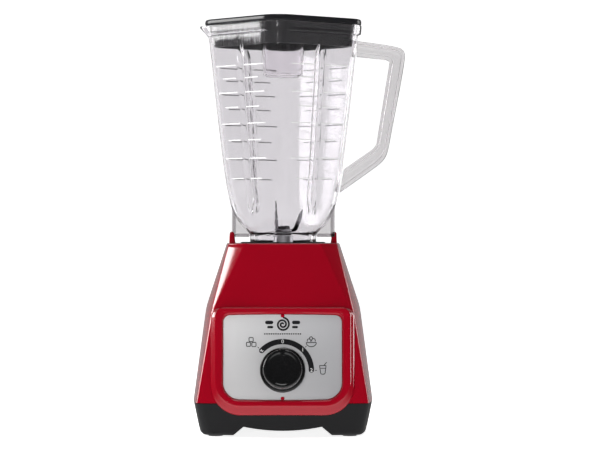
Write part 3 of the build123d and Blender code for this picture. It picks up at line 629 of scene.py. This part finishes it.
def icons():
    # outlines of what each setting is for: ice cubes for the pulse, a bowl of fruit for 1, a glass for 2
    thin, lines = plate["iconLine"], []
    for x, y, tip in ((-31.4, 24.0, 12), (-26.4, 23.8, -8), (-29.0, 28.4, 20)):
        turn = np.radians(np.linspace(0, 360, 40, endpoint=False) + tip)
        reach = roundSquare(turn, 1.9, 0.8)
        cube = np.stack([x + reach * np.cos(turn), y + reach * np.sin(turn)], -1)
        lines.append(inkLine(cube, thin, closed=True))
    bowl = np.radians(np.linspace(180, 360, 40))
    lines.append(inkLine(np.concatenate([np.stack([26.4 + 4.6 * np.cos(bowl), 25.4 + 3.6 * np.sin(bowl)], -1),
                                         straight((30.8, 25.6), (22.0, 25.6), 16)]), thin, closed=True))
    for x, y, r in ((24.2, 27.4, 1.6), (28.4, 27.6, 1.7), (26.2, 29.4, 1.5)):
        lines.append(inkLine(arcPath(r, -130, 130, 40, (x, y)), 0.7))
    glass = [(34.0, 4.4), (35.0, -2.8), (35.7, -3.5), (38.3, -3.5), (39.0, -2.8), (40.0, 4.4), (34.0, 4.4)]
    lines.append(inkLine(softPath(glass, 60, 1)[:-1], thin, closed=True))
    lines.append(inkLine(straight((34.6, 1.9), (39.4, 1.9), 12), 0.6))
    lines.append(inkLine(straight((38.0, 4.4), (40.6, 7.6), 12), thin))
    return lines


def numeral(text, x, y, size):
    # a digit as a low solid letter, turned into a mesh and then laid on the panel
    curve = bpy.data.curves.new("digit", "FONT")
    curve.body, curve.size, curve.align_x, curve.align_y = text, size, "CENTER", "CENTER"
    curve.extrude = 0.13
    letter = bpy.data.objects.new("digit", curve)
    mesh = bpy.data.meshes.new_from_object(letter)
    bpy.data.objects.remove(letter)
    corners = np.zeros(len(mesh.vertices) * 3)
    mesh.vertices.foreach_get("co", corners)
    corners = corners.reshape(-1, 3) + np.array([x, y, plate["face"] + 0.12])
    faces = [list(face.vertices) for face in mesh.polygons]
    bpy.data.meshes.remove(mesh)
    quads, fans = (np.array([face for face in faces if len(face) == count], int).reshape(-1, count)
                   for count in (4, 3))
    return onPanel(corners), quads, fans


def tabSheets():
    # two small red keys of the housing that reach over the plate, at the middle of its top and bottom edges
    sheets = []
    for y in (plate["keyTop"], plate["keyFoot"]):
        points, quads, fans = pillow((0, 0, 0), (1, 1, 1), 0.6, 20, 9)
        flat = np.array([0, y, plate["face"] + 0.2]) + points * np.array(plate["keySize"])
        sheets.append((onPanel(flat), quads, fans))
    return sheets


def settingMarks():
    # white 0, 1 and 2 on the dial's black band, and a small zigzag for the pulse
    white = []
    for text, degrees in (("0", 0), ("1", plate["one"]), ("2", plate["two"])):
        x, y = arcPath(plate["dial"], degrees, degrees, 1)[0]
        white.append(numeral(text, x, y, 5.0))
    x, y = arcPath(plate["dial"], plate["pulse"], plate["pulse"], 1)[0]
    zigzag = np.array([(-1.9, -0.2), (-0.8, -0.2), (-0.2, 1.1), (0.5, -1.2), (1.0, -0.1), (1.9, -0.1)])
    white.append(inkLine(softPath(zigzag + (x, y), 40, 0), 0.5, 0.24))
    return white


makePiece("silver_panel", [plateSheet()], "base", "silverPlate", ["control_plate"], crease=50)
makePiece("dial_print", panelPrint(), "base", "printInk", crease=40)
makePiece("panel_emblem", emblem(), "base", "printInk", crease=40)
makePiece("plate_keys", tabSheets(), "base", "redShell", crease=60)
makePiece("setting_icons", icons(), "base", "greyInk", crease=40)
makePiece("setting_marks", settingMarks(), "base", "whiteInk", crease=40)


# knob
knob = {"reach": 20.75, "crown": 16.9, "top": 18.4, "bore": 3.2}


def knobSheet():
    # a turned profile: a skirt, a waisted crown with a fine groove, a rounded rim and a dished face; a ridge is
    # raised on it along the pointer's direction
    reach, crown, top, floor = knob["reach"], knob["crown"], knob["top"], plate["face"] + 0.3
    profile = [(knob["bore"], floor), (reach - 1.2, floor), (reach - 0.3, floor + 0.25), (reach, floor + 1.0),
               (reach, floor + 3.0), (reach - 0.4, floor + 3.8), (reach - 1.4, floor + 4.3),
               (reach - 2.3, floor + 4.5), (reach - 2.5, floor + 4.9), (reach - 2.6, floor + 8),
               (crown + 1.0, top - 3.6), (crown + 0.8, top - 3.1), (crown + 0.35, top - 2.9),
               (crown + 0.8, top - 2.6), (crown + 0.7, top - 1.4), (crown + 0.3, top - 0.5),
               (crown - 0.5, top - 0.08), (crown - 1.2, top), (crown - 2.0, top - 0.15), (crown - 2.6, top - 0.9),
               (crown - 3.2, top - 1.2), (9.5, top - 1.9), (4.0, top - 2.2), (1.0, top - 2.3)]

    def ridge(points):
        across = points[..., 0]
        ahead = np.clip(points[..., 1] / crown, 0, 1.3)
        near = np.exp(-(across / (0.9 + 1.5 * ahead)) ** 4) * smoothStep(0.55, 0.8, ahead)
        front = smoothStep(top - 6, top - 2, points[..., 2])
        points = points.copy()
        points[..., 2] += near * front * np.clip(top + 0.25 - points[..., 2], 0, 1.6)
        return points

    return sheetOf(onPanel(lathe(profile, 192, ridge)), caps=True)


makePiece("speed_knob", [knobSheet()], "dial", "blackKnob", ["knob"], crease=50)


# clear jar
jar = {"neck": 187.0, "rim": 384.0, "collar": 375.4, "proud": 2.7, "wall": 2.8, "bore": 27.4, "neckReach": 31.4,
       "foot": 158.2, "columns": 320, "flute": 4.6, "fluteHalf": 3.7, "fluteTop": 366.0, "fluteFoot": 212.0,
       "beak": 7.3, "beakWide": 6.0, "beakDown": 11.0, "beakRise": 9.5, "soften": 0.045, "makeUp": 0.57}
jarCorner = [(187, 32.0), (190.5, 35.4), (195, 39.8), (203.7, 45.6), (213, 49.4), (222, 51.6), (240, 55.0),
             (266, 58.5), (320, 65.0), (350, 68.2), (375, 71.2), (384, 72.2)]
jarRadius = [(187, 31.9), (195, 29.0), (203.7, 25.0), (213, 21.5), (222, 19.0), (240, 18.0), (384, 18.0)]


def jarAngles():
    # angles round the jar, closer together at the middle of each face, where the flutes are
    s = np.linspace(-1, 1, jar["columns"] // 4, endpoint=False)
    fold = math.pi / 4 * (0.5 * s + 0.5 * s ** 3)
    return np.concatenate([fold + math.pi / 4 + k * math.pi / 2 for k in range(4)])


def faceOf(corner, radius):
    # from the middle to the side of a rounded square whose corner has the given reach and radius
    return (corner + radius * (math.sqrt(2) - 1)) / math.sqrt(2)


def jarReach(angle, z, inset=0.0, outside=True):
    # reach of the jar: a rounded square standing on its corner that turns into a circle at the neck, averaged over
    # a few angles to soften it, less a flute at the middle of each side, plus the thick rim on the outside and a
    # straight beak on the corner away from the handle
    j = jar
    corner, radius = easeThrough(jarCorner, z), easeThrough(jarRadius, z)
    corner = corner + j["makeUp"] * (1 - radius / corner)     # the averaging takes this off the corners again
    face = faceOf(corner, radius)
    radius = np.minimum(radius, face - 0.01)
    reach = np.mean([roundSquare(angle - math.pi / 4 + aside * j["soften"], face, radius)
                     for aside in (-2, -1, 0, 1, 2)], axis=0) - inset
    fold = (angle % (math.pi / 2)) - math.pi / 4
    lateral = np.abs(reach * np.sin(fold))
    taper = smoothStep(j["fluteFoot"] - 8, j["fluteFoot"] + 8, z)
    taper = taper * (1 - smoothStep(j["fluteTop"] - 18, j["fluteTop"], z))
    half = (j["fluteHalf"] + inset * 0.6) * (0.35 + 0.65 * taper)
    groove = (1 - smoothStep(0.15, 1.0, lateral / np.maximum(half, 0.1))) * taper
    reach = reach - (j["flute"] + inset * 0.2) * groove
    beak = np.exp(-(reach * np.sin(angle) / j["beakWide"]) ** 2) * (np.cos(angle) < 0)
    if outside:
        reach = reach + j["proud"] * (1 - beak) * smoothStep(j["collar"] - 0.9, j["collar"] + 0.3, z)
    return reach + beak * j["beak"] * np.clip((z - j["rim"] + j["beakDown"]) / j["beakRise"], 0, 1)


def jarSheet():
    # one skin of rows: up the outside of the neck and of the jar, over the lip, down the inside and down the bore
    j, angle = jar, jarAngles()
    heights = [np.linspace(j["neck"] + 0.6, 222, 22), np.linspace(226, j["collar"] - 2, 34),
               np.linspace(j["collar"] - 1.2, j["collar"] + 0.4, 5),
               [j["collar"] + 3, j["rim"] - 1.6, j["rim"] - 0.6]]
    up = np.unique(np.concatenate(heights))
    outer = jarReach(angle[None, :], up[:, None])
    down = np.concatenate([[j["rim"] - 0.3], np.linspace(j["rim"] - 3, 222, 24),
                           np.linspace(218, j["neck"] + 1.0, 16)])
    inner = jarReach(angle[None, :], down[:, None], j["wall"], False)
    top = jarReach(angle[None, :], np.array([[j["rim"]]]))
    lip = np.stack([top[0] - 0.6, (top[0] * 0.35 + inner[0] * 0.65)])
    neckUp = np.array([j["foot"] + 0.4, 160.0, 172.0, 180.0, 184.6, 186.4])
    neckOut = j["neckReach"] + np.array([[-0.4], [0], [0], [0], [0], [0.35]]) * np.ones_like(angle)
    boreDown = np.array([186.8, 184.0, 170.0, j["foot"] + 0.3])
    boreOut = j["bore"] + np.array([[0.5], [0], [0], [0.2]]) * np.ones_like(angle)
    return sheetOf(np.concatenate([ring(angle, neckOut, neckUp), ring(angle, outer, up),
                                   ring(angle, lip, [j["rim"], j["rim"]]), ring(angle, inner, down),
                                   ring(angle, boreOut, boreDown)]), loop=True)


grip = {"outer": [(70.6, 369.6), (101, 365.0), (117.1, 362.0), (112.8, 334), (98.4, 258.4), (91.0, 251.9),
                  (54.2, 225.8)],
        "inner": [(70.0, 354.4), (97.0, 351.4), (101.4, 350.6), (97.9, 330), (88.5, 270.6), (85.5, 267.2),
                  (58.2, 248.4)],
        "half": 10.6, "count": 110, "outerSoft": 7, "innerSoft": 4, "squared": 0.45, "channel": 0.16}


def gripSheet():
    # between an outer and an inner outline, both with rounded corners, a rounded section is carried round the
    # handle; a shallow channel runs along each side of it
    g = grip
    outer = softPath(g["outer"], g["count"], g["outerSoft"])
    inner = softPath(g["inner"], g["count"], g["innerSoft"])
    middle, across = (outer + inner) / 2, (outer - inner) / 2
    turn = np.linspace(0, 2 * math.pi, 40, endpoint=False)
    u, v = squared(np.cos(turn), g["squared"]), squared(np.sin(turn), g["squared"])
    channel = 1 - g["channel"] * (1 - smoothStep(0.35, 0.62, np.abs(u)))
    x = middle[:, None, 0] + across[:, None, 0] * u
    z = middle[:, None, 1] + across[:, None, 1] * u
    y = g["half"] * v * channel * np.ones_like(x)
    return sheetOf(np.stack([x, y, z], -1), caps=True)


fin = {"reach": 49.0, "top": 214.6, "foot": 183.7, "thin": 1.1, "border": 2.4, "borderWide": 3.8, "webTop": 211.5,
       "sunk": 0.8, "neck": 31.0, "footFrom": 32.4, "footHigh": 1.6}


def finSheets(side):
    # a thin web that fills the space between the jar's corner and a thick border down its outer edge and foot
    f = fin
    up = np.linspace(f["foot"] + 0.5, f["webTop"], 24)
    beside = easeThrough(jarCorner, np.maximum(up, jar["neck"])) - f["sunk"]
    inner = np.where(up < jar["neck"] + 0.5, f["neck"], beside)
    x = np.stack([inner, np.full(24, f["reach"] - 1), np.full(24, f["reach"] - 1), inner], 1)[:, ::side]
    y = np.array([-1, -1, 1, 1])[::side] * f["thin"] * np.ones_like(x)
    web = sheetOf(np.stack([side * x, y, up[:, None] * np.ones_like(x)], -1), caps=True)
    middleZ = (f["foot"] + f["top"]) / 2
    edge = pillow((side * (f["reach"] - f["borderWide"] / 2), 0, middleZ),
                  (f["borderWide"] / 2, f["border"], (f["top"] - f["foot"]) / 2), 0.25)
    foot = pillow((side * (f["reach"] + f["footFrom"]) / 2, 0, f["foot"] + f["footHigh"]),
                  ((f["reach"] - f["footFrom"]) / 2, f["border"], f["footHigh"]), 0.2)
    return [web, edge, foot]


marks = {"heights": (345, 333, 319.6, 305.9, 290.4, 274.9, 257.7, 238.8), "high": 0.24, "wide": 0.6, "sunk": 0.1,
         "near": (12.0, 19.0), "far": 38.4}     # degrees from the jar's corner


def markSheets():
    # raised level marks, long and short in turn: an oval section carried along the jar's skin from beside a flute
    # towards the corner
    m, sheets = marks, []
    turn = np.linspace(0, 2 * math.pi, 10, endpoint=False)
    for corner in range(4):
        for side in (-1, 1):
            for count, height in enumerate(m["heights"]):
                along = np.radians(np.linspace(m["near"][count % 2], m["far"], 16))
                angle = corner * math.pi / 2 + side * along
                reach = jarReach(angle[:, None] * np.ones(10), height * np.ones((16, 10)))
                reach = reach - m["sunk"] + m["high"] * np.cos(turn)
                z = height + m["wide"] * np.sin(turn) * np.ones((16, 1))
                points = np.stack([reach * np.cos(angle)[:, None], reach * np.sin(angle)[:, None], z], -1)
                sheets.append(sheetOf(points[::side], caps=True))
    return sheets


makePiece("clear_jar", [jarSheet()], "jar_body", "clearJar", ["jar"], crease=50, turned=True)
makePiece("jar_handle", [gripSheet()] + finSheets(-1) + finSheets(1), "jar_body", "clearGrip",
          crease=50, turned=True)
# the level marks in their painted near-white glint
makePiece("jar_marks", markSheets(), "jar_body", "glintMarks", crease=60, turned=True)


# lid and feeder cap
lid = {"columns": 240,
       # corner reach, corner radius, height
       "square": [(62.2, 13, 364.8), (62.4, 13, 364.2), (63.0, 13.5, 364.0), (64.4, 15, 364.2),
                  (64.9, 15, 364.0), (65.3, 15, 364.8), (68.4, 15, 383.6), (68.8, 15, 384.2), (73.3, 18, 384.2),
                  (74.1, 18.6, 384.7), (74.4, 19, 385.8), (74.4, 19, 387.4), (74.1, 19, 388.7),
                  (73.3, 18.5, 389.6), (72.0, 18, 390.0), (64.0, 14.5, 390.0), (62.8, 14, 389.7),
                  (62.2, 13.6, 388.6), (61.4, 13.2, 387.6), (60.4, 13, 387.4)],
       "under": [(60.0, 13, 384.3), (65.4, 13, 383.9), (65.6, 13, 383.0)],
       # reach, height
       "round": [(27.6, 387.4), (26.7, 387.8), (26.4, 389.0), (25.9, 389.4), (21.9, 389.4), (21.5, 389.0),
                 (21.5, 385.0), (22.0, 384.3)]}


def lidSheet():
    # square rows carried up the skirt and in over the top, turned rows through the cap's hole, then square rows
    # back out underneath to the skirt
    angle = np.linspace(0, 2 * math.pi, lid["columns"], endpoint=False)

    def squareRows(rows):
        reach, radius, height = np.array(rows, float).T[:, :, None]
        square = roundSquare(angle[None, :] - math.pi / 4, faceOf(reach, radius), radius)
        return ring(angle, square, height[:, 0])

    top, hole, under = squareRows(lid["square"]), lathe(lid["round"], lid["columns"]), squareRows(lid["under"])
    # the first row under the lid is a fifth of the way to a circle
    circle = lid["under"][0][0] * np.stack([np.cos(angle), np.sin(angle)], -1)
    under[0, :, :2] = 0.8 * under[0, :, :2] + 0.2 * circle
    return sheetOf(np.concatenate([top, hole, under]), loop=True)


makePiece("black_lid", [lidSheet()], "lid_body", "blackLid", ["lid"], crease=45, turned=True)

cup = [(0.4, 335.2), (14.0, 335.2), (17.4, 335.9), (18.7, 337.6), (19.2, 341), (20.4, 386), (20.6, 389.7),
       (21.6, 389.8), (24.6, 389.8), (25.3, 390.3), (25.4, 391.8), (25.0, 392.9), (24.2, 393.35), (19.6, 393.35),
       (18.9, 392.9), (18.6, 391), (17.2, 342), (16.6, 338.6), (14.6, 337.4), (0.4, 337.3)]
makePiece("feeder_cup", [sheetOf(lathe(cup, 96), caps=True)], "cap_body", "clearCap", ["filler_cap"],
          crease=40, turned=True)


# blades
blades = {
    "thick": 0.7, "bore": 4.05, "lowerHub": (188.0, 189.4, 7.4), "upperHub": (190.6, 192.0, 8.4),
    # each arm: degrees round the shaft, a path of (reach, height), and half widths at shares of its length
    "lower": [(-32, [(3, 188.7), (10.6, 188.8), (13.0, 190.8), (16.2, 196), (20.8, 209.8)],
               [(0, 5.0), (0.35, 5.2), (0.7, 3.8), (1, 0.3)]),
              (166, [(3, 188.7), (9.4, 188.7), (12, 187.6), (19, 184.4)], [(0, 5.0), (0.5, 5.0), (1, 1.0)])],
    "upper": [(216, [(3, 191.3), (5.6, 191.4), (7.4, 193.0), (8.3, 202), (8.6, 218.2)],
               [(0, 3.6), (0.2, 3.4), (0.55, 2.0), (1, 0.25)]),
              (-78, [(3, 191.3), (11, 191.3), (16, 190.6), (22, 188.6)], [(0, 5.0), (0.6, 4.6), (1, 1.4)])]}


def bladeArm(turn, path, widths):
    # a blade arm: a thin lens-shaped section carried along a bent path, its width tapering to the tip
    path = softPath(path, 40, 3)
    along = np.gradient(path, axis=0)
    along /= np.linalg.norm(along, axis=1)[:, None]
    up = np.stack([-along[:, 1], along[:, 0]], -1)
    share = np.linspace(0, 1, len(path))
    wide = np.interp(share, *np.array(widths).T)
    angle = np.linspace(0, 2 * math.pi, 16, endpoint=False)
    lens = blades["thick"] * np.sin(angle) * (1 - 0.55 * np.abs(np.cos(angle)))
    x = path[:, None, 0] + up[:, None, 0] * lens
    z = path[:, None, 1] + up[:, None, 1] * lens
    y = wide[:, None] * np.cos(angle) + np.zeros_like(x)
    c, s = math.cos(math.radians(turn)), math.sin(math.radians(turn))
    return sheetOf(np.stack([c * x - s * y, s * x + c * y, z], -1), caps=True)


def bladeHub(low, high, reach):
    # a washer-like disc round the shaft
    bore = blades["bore"]
    return sheetOf(lathe([(bore, low), (reach - 0.3, low), (reach, low + 0.2), (reach, high - 0.2),
                          (reach - 0.3, high), (bore, high)], 64), loop=True)


for layer in ("lower", "upper"):
    sheets = [bladeArm(*arm) for arm in blades[layer]] + [bladeHub(*blades[layer + "Hub"])]
    makePiece(layer + "_blades", sheets, "blade", "bladeSteel", [layer + "_blade"], crease=30)


# finishes of the CAD nodes that stay
cadFinish = {
    "blackTray": "bottom_tray", "blackDeck": "deck_insert jar_nut", "footRubber": "rubber_feet slinger cord_gland",
    "steel": "tray_screws bracket_screws through_bolts brush_springs motor_shaft switch_shaft blade_shaft "
             "drive_socket",
    # dark_steel puts painted shade on the blade washers and cap nut
    "darkSteel": "blade_washers blade_cap_nut", "brass": "switch_bushing commutator brush_holders",
    "castAlloy": "upper_bracket lower_bracket drive_stud blade_carrier", "laminations": "stator_core armature_core",
    "bronze": "upper_bearing lower_bearing blade_bush", "copper": "field_coils armature_windings",
    "palePlastic": "switch_body terminal_block", "greyPlastic": "cooling_fan", "carbon": "carbon_brushes",
    "leadCover": "switch_leads", "gasketRubber": "gasket"}
for finish, nodes in cadFinish.items():
    for node in nodes.split():
        mesh = frame["nodes"][node].data
        mesh.materials.clear()
        mesh.materials.append(finishes[finish])
print("CAD nodes finished:", sum(len(nodes.split()) for nodes in cadFinish.values()))


# studio
studio = {
    "floor": 0.9, "glow": 0.85, "front": 0.045, "back": 0.36, "below": 0.9, "rimShade": 0.22,
    # name: place, aim, size, watts
    "lights": {"left_box": ((-1.8, 0.45, 0.78), (0, 0, 0.3), (0.8, 1.0), 30),
               "right_box": ((1.8, 0.9, 0.45), (0, 0, 0.15), (0.6, 1.3), 12),
               "top_box": ((0.1, -0.3, 2.2), (0, 0, 0.2), (1.2, 1.2), 10),
               "front_box": ((-0.5, -2.9, 0.12), (0, 0, 0.15), (0.7, 0.5), 58)}}


def floorFinish():
    finish = Finish("pale_floor", (studio["floor"],) * 3, 0.9)
    cloud = finish.noise(0.7, 1)
    finish.put("Base Color", finish.mix(cloud, (studio["floor"],) * 3, (studio["floor"] * 0.99,) * 3))
    finish.put("Emission Color", (1, 1, 1, 1))
    finish.put("Emission Strength", studio["glow"])
    return finish.material


def studioFloor():
    # a floor that curves up into a wall far behind the object: one outline of (depth, height) carried across
    bend, across = np.linspace(0.1, 1.57, 12), np.linspace(-14, 14, 12)
    outline = np.concatenate([np.stack([np.linspace(-9, 9, 20), np.zeros(20)], -1),
                              np.stack([9 + 3 * np.sin(bend), 3 - 3 * np.cos(bend)], -1), [[12, 9]]])
    points = np.stack([np.repeat(across[:, None], len(outline), 1), np.repeat(outline[None, :, 0], 12, 0),
                       np.repeat(outline[None, :, 1], 12, 0)], -1)
    corners, quads, fans = sheetOf(points[::-1], around=False)
    mesh = bpy.data.meshes.new("studio_floor")
    mesh.from_pydata(corners.tolist(), [], quads.tolist())
    mesh.shade_smooth()
    mesh.materials.append(floorFinish())
    floor = bpy.data.objects.new("studio_floor", mesh)
    scene.collection.objects.link(floor)
    return floor


def softLight(name, place, aim, size, power):
    # a rectangular light at a place, turned towards its aim
    lamp = bpy.data.lights.new(name, "AREA")
    lamp.shape, lamp.size, lamp.size_y, lamp.energy = "RECTANGLE", size[0], size[1], power
    light = bpy.data.objects.new(name, lamp)
    light.location = place
    light.rotation_euler = (Vector(aim) - Vector(place)).to_track_quat("-Z", "Y").to_euler()
    scene.collection.objects.link(light)
    return light


def surroundings():
    # white to the eye, white that fades sideways through the clear plastic, and where it only lights the object,
    # dim in front, brighter behind and bright below
    world = bpy.data.worlds.new("studio")
    graph = Graph(world)
    across, ahead, up = graph.split(graph.node("ShaderNodeTexCoord", {}, {}, "Generated"))
    ray = lambda kind: graph.node("ShaderNodeLightPath", {}, {}, kind)
    aside = graph.node("ShaderNodeMath", {"operation": "ABSOLUTE"}, {0: across})
    through = ray("Is Transmission Ray") * graph.spread(aside, 0.15, 0.75, 1.0, studio["rimShade"])
    seen = graph.node("ShaderNodeMath", {"operation": "MAXIMUM"}, {0: ray("Is Camera Ray"), 1: through})
    lighting = (graph.spread(ahead, 0.3, 0.9, studio["front"], studio["back"])
                + graph.spread(up, -0.25, -0.7, 0.0, studio["below"]))
    sky = graph.node("ShaderNodeBackground", {}, {"Color": graph.mix(seen, lighting, (1, 1, 1))})
    output = graph.tree.nodes.new("ShaderNodeOutputWorld")
    graph.tree.links.new(sky.socket, output.inputs[0])
    return world


studioFloor().visible_glossy = False
lights = {name: softLight(name, *values) for name, values in studio["lights"].items()}
# the front light only brightens: neither gloss nor clear plastic shows it
lights["front_box"].visible_glossy = lights["front_box"].visible_transmission = False
scene.world = surroundings()

scene.view_settings.view_transform = "Standard"
scene.cycles.use_denoising = True
scene.cycles.max_bounces = 14
scene.cycles.transmission_bounces = 12
scene.cycles.transparent_max_bounces = 12
scene.cycles.glossy_bounces = 5
print("studio lit")
